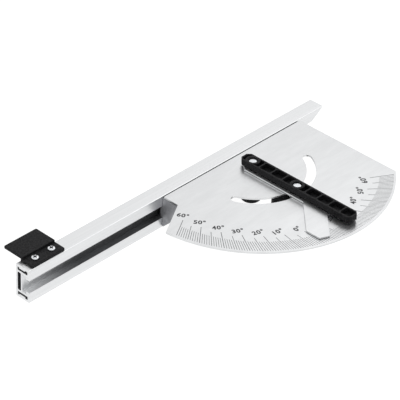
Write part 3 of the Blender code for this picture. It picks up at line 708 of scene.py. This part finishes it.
@dataclass
class ProtractorPlate:
    """The sheet-metal plate with the printed scale. Its back edge is trimmed by gap, away from the fence."""

    edge: float = 0.2 * MM
    gap: float = 0.6 * MM
    pivot: tuple[float, float] = (0.0, -42.8 * MM)
    top: float = 18 * MM
    proud: float = 0.025 * MM
    line_widths: tuple[float, float, float] = (0.42 * MM, 0.5 * MM, 0.56 * MM)
    line_offset: float = 43.1 * MM
    line_end: float = 128.5 * MM
    line_starts: tuple[float, float, float] = (113.6 * MM, 107.3 * MM, 103.9 * MM)
    last_degree: int = 60
    number_radius: float = 106.3 * MM
    number_turn: float = 25.0
    number_height: float = 6.2 * MM
    number_weight: float = 0.035
    number_spacing: float = 1.12
    text_depth: float = 0.5
    curve_steps: int = 4

    def build(self) -> None:
        """Builds the plate, the lines and the numbers."""
        back = corner_of("protractor_plate", 1).y - self.gap

        def trimmed(corner: Vector) -> Vector:
            """Gives where a corner goes, so that the back edge keeps its gap."""
            return Vector((corner.x, min(corner.y, back), corner.z))

        plate = softened("protractor_plate", self.edge, fit=trimmed)
        piece("plate", plate, SHEET, Body.PROTRACTOR, ["protractor_plate"])
        lines = [self.line(degree) for degree in range(-self.last_degree, self.last_degree + 1)]
        piece("scale_lines", joined(lines), LINE_INK, Body.PROTRACTOR)
        numbers = [self.number(degree) for degree in range(-self.last_degree, self.last_degree + 1, 10)]
        piece("scale_numbers", joined(numbers), NUMBER_INK, Body.PROTRACTOR)

    def line(self, degree: int) -> bmesh.types.BMesh:
        """Builds one line of the scale.

        Args:
            degree: Its angle, positive at the plate's left.

        Returns:
            The line, in place.
        """
        step = 2 if degree % 10 == 0 else 1 if degree % 5 == 0 else 0
        start = self.line_starts[step]
        shape = bmesh.new()
        bmesh.ops.create_cube(shape, size=1.0)
        size = Vector((self.line_widths[step], self.line_end - start, self.proud))
        bmesh.ops.scale(shape, vec=size, verts=shape.verts[:])
        middle = Vector((-self.line_offset, -(start + self.line_end) / 2, 0))
        turn = Matrix.Rotation(-math.radians(degree), 3, "Z")
        place = turn @ middle + Vector((*self.pivot, self.top + self.proud / 2))
        return placed(shape, place, turn)

    def number(self, degree: int) -> bmesh.types.BMesh:
        """Builds one number of the scale.

        Args:
            degree: Its angle, positive at the plate's left.

        Returns:
            The number, in place.
        """
        text = bpy.data.curves.new("number", "FONT")
        text.body = f"{abs(degree)}°"
        text.align_x, text.align_y = "CENTER", "CENTER"
        text.extrude = self.text_depth
        text.offset = self.number_weight
        text.space_character = self.number_spacing
        text.resolution_u = self.curve_steps
        holder = bpy.data.objects.new("number", text)
        bpy.context.scene.collection.objects.link(holder)
        bpy.context.view_layer.update()
        mesh = bpy.data.meshes.new_from_object(holder)
        bpy.data.objects.remove(holder)
        shape = bmesh.new()
        shape.from_mesh(mesh)
        bpy.data.meshes.remove(mesh)
        bmesh.ops.remove_doubles(shape, verts=shape.verts[:], dist=TEXT_MERGE)
        low = Vector([min(vert.co[i] for vert in shape.verts) for i in range(3)])
        high = Vector([max(vert.co[i] for vert in shape.verts) for i in range(3)])
        size = self.number_height / (high.y - low.y)
        bmesh.ops.translate(shape, vec=-(low + high) / 2, verts=shape.verts[:])
        bmesh.ops.scale(shape, vec=(size, size, self.proud / (high.z - low.z)), verts=shape.verts[:])
        around = math.radians(degree + self.number_turn)
        place = Vector((-math.sin(around), -math.cos(around), 0)) * self.number_radius
        place += Vector((*self.pivot, self.top + self.proud / 2))
        return placed(shape, place, Matrix.Rotation(-math.radians(degree), 3, "Z"))


@dataclass
class Bracket:
    """The cast wedge under the plate, and the nuts that hold the plate to it."""

    edge: float = 0.3 * MM
    nut_flats: float = 7 * MM
    nut_height: float = 3.2 * MM
    nut_bore: float = 4.6 * MM

    def build(self) -> None:
        """Builds the wedge and its nuts."""
        piece("bracket", softened("plate_bracket", self.edge), CASTING, Body.PROTRACTOR, ["plate_bracket"])
        for number in range(1, 5):
            node = f"bracket_nut_{number}"
            nut = placed(hex_nut(self.nut_flats, self.nut_height, self.nut_bore), axis_of(node))
            piece(f"stud_nut_{number}", nut, ZINC, Body.PROTRACTOR, [node])


def hex_nut(flats: float, height: float, bore: float) -> bmesh.types.BMesh:
    """Builds a hexagon nut whose corners are chamfered on both faces.

    Args:
        flats: Its width across flats.
        height: Its height.
        bore: Its bore's diameter.

    Returns:
        The nut, its top at height 0.
    """
    outline = hexagon(flats)
    flat = 0.475 * flats
    ease = 0.3 * MM
    slope = math.tan(math.radians(30))

    def drop(angle: float) -> float:
        """Gives how far the chamfer falls at an angle."""
        return (outline(angle) - flat) * slope

    rings = [
        Station(bore / 2, -ease),
        Station(bore / 2 + ease, 0),
        Station(flat, 0),
        Station(outline, lambda angle: -drop(angle)),
        Station(outline, lambda angle: drop(angle) - height),
        Station(flat, -height),
        Station(bore / 2 + ease, -height),
        Station(bore / 2, ease - height),
    ]
    return ringed(rings, NUT_STEPS, closed=True)


def washer(outer: float, inner: float, thickness: float) -> bmesh.types.BMesh:
    """Builds a stamped washer with one rounded and one sharp rim.

    Args:
        outer: Its outer diameter.
        inner: Its inner diameter.
        thickness: Its thickness.

    Returns:
        The washer, its top at height 0.
    """
    ease = 0.2 * MM
    points = [
        (inner / 2, -ease),
        (inner / 2 + ease, 0),
        (outer / 2 - ease, 0),
        (outer / 2 - 0.3 * ease, -0.3 * ease),
        (outer / 2, -ease),
        (outer / 2, -thickness),
        (inner / 2, -thickness),
    ]
    return ringed([Station(*point) for point in points], closed=True)


@dataclass
class GrooveFixings:
    """The socket-head screws, washers and nuts that hold the bracket to the fence's groove."""

    head: float = 10 * MM
    head_height: float = 6 * MM
    shank: float = 6 * MM
    pitch: float = 1.0 * MM
    socket: float = 5 * MM
    socket_depth: float = 3 * MM
    socket_point: float = 0.5 * MM
    ease: float = 0.35 * MM
    small_ease: float = 0.2 * MM
    washer_outer: float = 12 * MM
    washer_play: float = 0.6 * MM
    washer_thickness: float = 1.6 * MM
    nut_edge: float = 0.3 * MM

    def build(self) -> None:
        """Builds both sets of fixings."""
        turn = Matrix.Rotation(math.pi / 2, 3, "X")
        for side in ("left", "right"):
            node = f"slot_screw_{side}"
            low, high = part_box(node)
            axis = Vector(((low.x + high.x) / 2, low.y + self.head_height, (low.z + high.z) / 2))
            length = high.y - axis.y
            screw = placed(self.cap_screw(length), axis, turn)
            piece(f"cap_screw_{side}", screw, ZINC, Body.PROTRACTOR, [node])
            node = f"slot_washer_{side}"
            low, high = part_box(node)
            axis = Vector(((low.x + high.x) / 2, low.y, (low.z + high.z) / 2))
            ring = washer(self.washer_outer, self.shank + self.washer_play, self.washer_thickness)
            piece(f"cap_washer_{side}", placed(ring, axis, turn), ZINC, Body.PROTRACTOR, [node])
            node = f"slot_nut_{side}"
            piece(f"groove_nut_{side}", softened(node, self.nut_edge), ZINC, Body.PROTRACTOR, [node])

    def cap_screw(self, length: float) -> bmesh.types.BMesh:
        """Builds a socket-head screw.

        Args:
            length: How far it reaches below its head.

        Returns:
            The screw, its head standing on height 0.
        """
        top, half = self.head_height, self.head / 2
        socket = hexagon(self.socket)
        floor = top - self.socket_depth
        small = self.small_ease
        rings = [Station(0, floor - self.socket_point), Station(socket, floor), Station(socket, top - small)]
        rings += [Station(lambda angle: socket(angle) + small, top), Station(half - self.ease, top)]
        rings += [Station(half - 0.3 * self.ease, top - 0.3 * self.ease), Station(half, top - self.ease)]
        rings += [Station(half, small), Station(half - small, 0)]
        return ringed(rings + thread(self.shank / 2, 0, -length, self.pitch), FINE_STEPS)


@dataclass
class PivotFixings:
    """The pivot bolt, its washer and nut, and the foot that is pushed over the nut."""

    edge: float = 0.25 * MM
    washer_outer: float = 16 * MM
    washer_thickness: float = 1.6 * MM
    bore: float = 6.6 * MM
    nut_flats: float = 10 * MM
    nut_height: float = 5 * MM

    def build(self) -> None:
        """Builds the pivot's fixings."""
        top = axis_of("pivot_bolt")
        length = top.z - corner_of("pivot_bolt", 0).z
        bolt = placed(HeadedBolt().turned(length), top)
        piece("pivot_screw", bolt, ZINC, Body.PROTRACTOR, ["pivot_bolt"])
        ring = placed(washer(self.washer_outer, self.bore, self.washer_thickness), axis_of("pivot_washer"))
        piece("pivot_ring", ring, ZINC, Body.PROTRACTOR, ["pivot_washer"])
        nut = placed(hex_nut(self.nut_flats, self.nut_height, self.bore), axis_of("pivot_nut"))
        piece("pivot_hex_nut", nut, ZINC, Body.PROTRACTOR, ["pivot_nut"])
        piece("foot", softened("pivot_foot", self.edge), NYLON, Body.PROTRACTOR, ["pivot_foot"])


@dataclass
class HeadedBolt:
    """A bolt with a low round head, a plain shank and a thread at its end.

    head_profile gives the head's rings, each by how far it lies inside the rim and below the top.
    """

    head: float = 8.4 * MM
    head_height: float = 2.8 * MM
    head_ease: float = 0.15 * MM
    head_profile: tuple[tuple[float, float], ...] = (
        (2.1 * MM, 0.01 * MM),
        (0.8 * MM, 0.04 * MM),
        (0.35 * MM, 0.12 * MM),
        (0.1 * MM, 0.3 * MM),
        (0.0, 0.55 * MM),
    )
    shank: float = 6 * MM
    pitch: float = 1.0 * MM
    thread_share: float = 0.45
    neck_corner: float = 5 * MM / math.sqrt(2)
    neck_length: float = 2.1 * MM

    def neck(self, angle: float) -> float:
        """Gives the reach of the square neck at an angle, its corners cut off at neck_corner."""
        turn = abs((angle + math.pi / 4) % (math.pi / 2) - math.pi / 4)
        return min(self.shank / 2 / math.cos(turn), self.neck_corner / math.cos(math.pi / 4 - turn))

    def turned(self, length: float, square: bool = False) -> bmesh.types.BMesh:
        """Builds the bolt.

        Args:
            length: Its whole length.
            square: Whether it has a square neck under its head.

        Returns:
            The bolt, its top at height 0.
        """
        half, height, shank = self.head / 2, self.head_height, self.shank / 2
        rings = [Station(0, 0)] + [Station(half - inside, -below) for inside, below in self.head_profile]
        rings += [Station(half, self.head_ease - height), Station(half - self.head_ease, -height)]
        below = height
        if square:
            below += self.neck_length
            rings += [Station(self.neck, -height), Station(self.neck, -below)]
        start = -length * self.thread_share
        rings += [Station(shank, -below), Station(shank, start)]
        return ringed(rings + thread(shank, start, -length, self.pitch)[1:], FINE_STEPS)


@dataclass
class Pointer:
    """The sheet-metal pointer under the bar.

    Its corners, in plan from the pivot, are fitted finer than the solid's: the tip is cut at a slant, and the
    strip's far end is rounded under the bar.
    """

    edge: float = 0.35 * MM
    pivot_y: float = -42.8 * MM
    near: float = 0.3 * MM
    corners: tuple[tuple[tuple[float, float], tuple[float, float]], ...] = (
        ((-43.1 * MM, -124.2 * MM), (-43.1 * MM, -121.9 * MM)),
        ((-31.0 * MM, -124.2 * MM), (-33.2 * MM, -126.4 * MM)),
        ((10.5 * MM, 12.0 * MM), (10.5 * MM, 1.0 * MM)),
        ((-10.5 * MM, 12.0 * MM), (-10.5 * MM, 1.0 * MM)),
        ((7.5 * MM, 15.0 * MM), (6.0 * MM, 6.6 * MM)),
        ((-7.5 * MM, 15.0 * MM), (-6.0 * MM, 6.6 * MM)),
    )

    def build(self) -> None:
        """Shows the pointer with its edges broken."""
        shape = softened("pointer_plate", self.edge, 3, self.fitted)
        piece("pointer", shape, SHEET, Body.SWING, ["pointer_plate"])

    def fitted(self, corner: Vector) -> Vector:
        """Gives where a corner of the solid goes.

        Args:
            corner: The corner's place.

        Returns:
            Its fitted place.
        """
        for old, new in self.corners:
            if math.hypot(corner.x - old[0], corner.y - self.pivot_y - old[1]) < self.near:
                return Vector((new[0], new[1] + self.pivot_y, corner.z))
        return corner


@dataclass
class GuideBar:
    """The moulded bar that fits a guide rail's groove, with a thin rib beside its pivot boss.

    The corners of its outline that lie lower than base and further out than bores move outwards by lean.
    """

    edge: float = 0.18 * MM
    base: float = 20.2 * MM
    bores: float = 3.4 * MM
    lean: float = 1.7 * MM
    rib_place: tuple[float, float, float] = (0.0, -54.8 * MM, 21.6 * MM)
    rib_half: float = 0.75 * MM
    rib_reach: float = 5.3 * MM
    rib_fillet: float = 1.4 * MM
    rib_sink: float = 0.02 * MM

    def build(self) -> None:
        """Shows the bar with its edges broken, and its rib."""
        bar = softened("guide_bar", self.edge, fit=self.leaning)
        piece("bar", joined([bar, self.rib()]), NYLON, Body.SWING, ["guide_bar"])

    def leaning(self, corner: Vector) -> Vector:
        """Gives where a corner goes, so that the bar's side looks as deep as in the photograph.

        Args:
            corner: The corner's place.

        Returns:
            Its place on the leaning wall.
        """
        if corner.z > self.base or abs(corner.x) < self.bores:
            return corner
        return corner + Vector((math.copysign(self.lean, corner.x), 0, 0))

    def rib(self) -> bmesh.types.BMesh:
        """Builds the rib, which widens where it meets the bar's walls.

        Returns:
            The rib, in place.
        """
        half, wide, end = self.rib_half, self.rib_half + self.rib_fillet, self.rib_reach
        inner = end - self.rib_fillet
        side = [(-end, wide), (-inner, half), (inner, half), (end, wide)]
        plan = side + [(x, -y) for x, y in reversed(side)]
        shape = bmesh.new()
        face = shape.faces.new([shape.verts.new((x, y, 0)) for x, y in plan])
        grown = bmesh.ops.extrude_face_region(shape, geom=[face])["geom"]
        upper = [item for item in grown if isinstance(item, bmesh.types.BMVert)]
        height = corner_of("guide_bar", 1).z - self.rib_sink - self.rib_place[2]
        bmesh.ops.translate(shape, vec=(0, 0, height), verts=upper)
        bmesh.ops.recalc_face_normals(shape, faces=shape.faces[:])
        rim = [edge for edge in shape.edges if all(vert in upper for vert in edge.verts)]
        bmesh.ops.bevel(
            shape,
            geom=rim,
            offset=self.edge,
            offset_type="OFFSET",
            affect="EDGES",
            segments=2,
            profile=0.5,
            material=-1,
        )
        return placed(shape, Vector(self.rib_place))


@dataclass
class ClampFixings:
    """The clamp bolt and washer, and the lobed knob with its threaded bush."""

    washer_outer: float = 16 * MM
    washer_thickness: float = 1.6 * MM
    bore: float = 6.6 * MM
    grip: float = 48 * MM
    grip_height: float = 27 * MM
    lobes: int = 8
    lobe_depth: float = 2.6 * MM
    rim: float = 2.5 * MM
    hub: float = 20 * MM
    bush: float = 12 * MM
    bush_length: float = 14 * MM
    bush_gap: float = 0.3 * MM
    hub_ease: float = 0.4 * MM
    hub_fillet: float = 0.8 * MM
    fillet_middle: float = 0.25 * MM
    dish: float = 15 * MM
    dish_depth: float = 1.2 * MM
    dish_lip: tuple[float, float] = (0.4 * MM, 0.2 * MM)
    dish_draft: float = 0.3 * MM
    steps: int = 160
    rim_steps: int = 8

    def build(self) -> None:
        """Builds the clamp's pieces."""
        top = axis_of("clamp_bolt")
        length = top.z - corner_of("clamp_bolt", 0).z
        bolt = placed(HeadedBolt().turned(length, square=True), top)
        piece("clamp_screw", bolt, ZINC, Body.SWING, ["clamp_bolt"])
        ring = placed(washer(self.washer_outer, self.bore, self.washer_thickness), axis_of("clamp_washer"))
        piece("clamp_ring", ring, ZINC, Body.SWING, ["clamp_washer"])
        knob = placed(self.knob(), axis_of("clamp_knob"))
        piece("knob", knob, NYLON, Body.KNOB, ["clamp_knob"])
        bush = placed(washer(self.bush, self.bore, self.bush_length), axis_of("knob_insert"))
        piece("knob_bush", bush, ZINC, Body.KNOB, ["knob_insert"])

    def knob(self) -> bmesh.types.BMesh:
        """Builds the knob: bored hub, lobed grip with rounded rims, and a dished end.

        Returns:
            The knob, its hub's top at height 0.
        """
        low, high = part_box("clamp_knob")
        bottom = low.z - high.z
        head = bottom + self.grip_height
        half, rim, hub = self.grip / 2, self.rim, self.hub / 2
        gap, ease, fillet = self.bush_gap, self.hub_ease, self.hub_fillet
        bore = self.bush / 2 + gap
        end = -self.bush_length - gap
        turns = [math.pi / 2 * i / self.rim_steps for i in range(self.rim_steps + 1)]
        rings = [Station(0, end), Station(bore, end), Station(bore, -gap), Station(bore + gap, 0)]
        rings += [Station(hub - ease, 0), Station(hub, -ease), Station(hub, head + fillet)]
        rings += [Station(hub + self.fillet_middle, head + self.fillet_middle), Station(hub + fillet, head)]
        rings += [self.lobed(half - rim + rim * math.sin(t), head - rim + rim * math.cos(t)) for t in turns]
        rings += [self.lobed(half - rim + rim * math.cos(t), bottom + rim - rim * math.sin(t)) for t in turns]
        lip, drop = self.dish_lip
        rings += [Station(self.dish + lip, bottom), Station(self.dish, bottom + drop)]
        rings += [Station(self.dish - self.dish_draft, bottom + self.dish_depth)]
        return ringed([*rings, Station(0, bottom + self.dish_depth)], self.steps)

    def lobed(self, reach: float, height: float) -> Station:
        """Gives one ring of the grip.

        Args:
            reach: How far its lobes reach.
            height: Its height.

        Returns:
            The ring, whose valleys lie between the lobes.
        """
        return Station(
            lambda angle: reach - self.lobe_depth * (0.5 + 0.5 * math.cos(self.lobes * angle)) ** 2, height
        )


@dataclass
class Studio:
    """The camera, the floor, the lights and the white surroundings."""

    camera_place: tuple[float, float, float] = (-1.3193, -1.1682, 1.1853)
    azimuth: float = -47.916
    elevation: float = 34.878
    roll: float = 2.547
    lens: float = 196.28
    sensor_width: float = 36.0
    sight: tuple[float, float] = (0.05, 40.0)
    floor_size: float = 12.0
    floor_gap: float = 0.1 * MM
    surround: float = 0.72
    aim: tuple[float, float, float] = (-0.06, -0.07, 0.0)
    lights: dict[str, tuple[tuple[float, float, float], float, float]] = field(
        default_factory=lambda: {
            "key": ((0.8, 0.2, 1.3), 0.9, 1.9),
            "fill": ((-1.2, -0.9, 0.9), 1.2, 1.0),
        }
    )

    def build(self) -> None:
        """Builds the studio."""
        self.aim_camera()
        self.lay_floor()
        self.hang_lights()
        self.surround_with_white()

    def aim_camera(self) -> None:
        """Sets the camera at the photograph's viewing angle."""
        turn, lift, roll = (math.radians(angle) for angle in (self.azimuth, self.elevation, self.roll))
        right = Vector((math.cos(turn), math.sin(turn), 0))
        back = Vector((math.sin(turn) * math.cos(lift), -math.cos(turn) * math.cos(lift), math.sin(lift)))
        up = back.cross(right)
        cosine, sine = math.cos(roll), math.sin(roll)
        rolled = [cosine * right + sine * up, cosine * up - sine * right, back]
        data = bpy.data.cameras.new("camera")
        data.lens = self.lens
        data.sensor_width = self.sensor_width
        data.clip_start, data.clip_end = self.sight
        camera = bpy.data.objects.new("camera", data)
        camera.matrix_world = Matrix.Translation(self.camera_place) @ Matrix(rolled).transposed().to_4x4()
        bpy.context.scene.collection.objects.link(camera)
        bpy.context.scene.camera = camera

    def lay_floor(self) -> None:
        """Lays the floor just under the object."""
        shape = bmesh.new()
        bmesh.ops.create_grid(shape, x_segments=2, y_segments=2, size=self.floor_size / 2)
        bmesh.ops.translate(shape, vec=(0, 0, CAD_BOX[0].z - self.floor_gap), verts=shape.verts[:])
        mesh = bpy.data.meshes.new("floor")
        shape.to_mesh(mesh)
        shape.free()
        mesh.materials.append(FloorFinish().material())
        floor = bpy.data.objects.new("floor", mesh)
        bpy.context.scene.collection.objects.link(floor)

    def hang_lights(self) -> None:
        """Hangs the soft boxes, each turned to the object."""
        for name, (place, size, power) in self.lights.items():
            data = bpy.data.lights.new(name, "AREA")
            data.shape = "SQUARE"
            data.size = size
            data.energy = power
            light = bpy.data.objects.new(name, data)
            back = Vector(place) - Vector(self.aim)
            light.matrix_world = Matrix.Translation(place) @ back.to_track_quat("Z", "Y").to_matrix().to_4x4()
            bpy.context.scene.collection.objects.link(light)

    def surround_with_white(self) -> None:
        """Makes the world white to the camera and to reflections, and a plain fill light to the rest."""
        world = bpy.data.worlds.new("white studio")
        bpy.context.scene.world = world
        world.use_nodes = True
        world.node_tree.nodes.clear()
        strength = add_node(
            world, "ShaderNodeMapRange", {}, {"Value": shown_to_camera(world), "To Min": self.surround}
        )
        white = add_node(
            world, "ShaderNodeBackground", {}, {"Color": linear(WHITE), "Strength": strength.outputs[0]}
        )
        add_node(world, "ShaderNodeOutputWorld", {}, {"Surface": white.outputs[0]})


def main() -> None:
    """Builds the studio and every sub-assembly."""
    logging.basicConfig(level=logging.INFO, format="%(message)s")
    bpy.context.scene.view_settings.view_transform = "Standard"
    parts = [
        Studio(),
        Fence(),
        EndClip(),
        ProtractorPlate(),
        Bracket(),
        GrooveFixings(),
        PivotFixings(),
        Pointer(),
        GuideBar(),
        ClampFixings(),
    ]
    for part in parts:
        LOG.info("building %s", type(part).__name__)
        part.build()


if __name__ == "__main__":
    main()
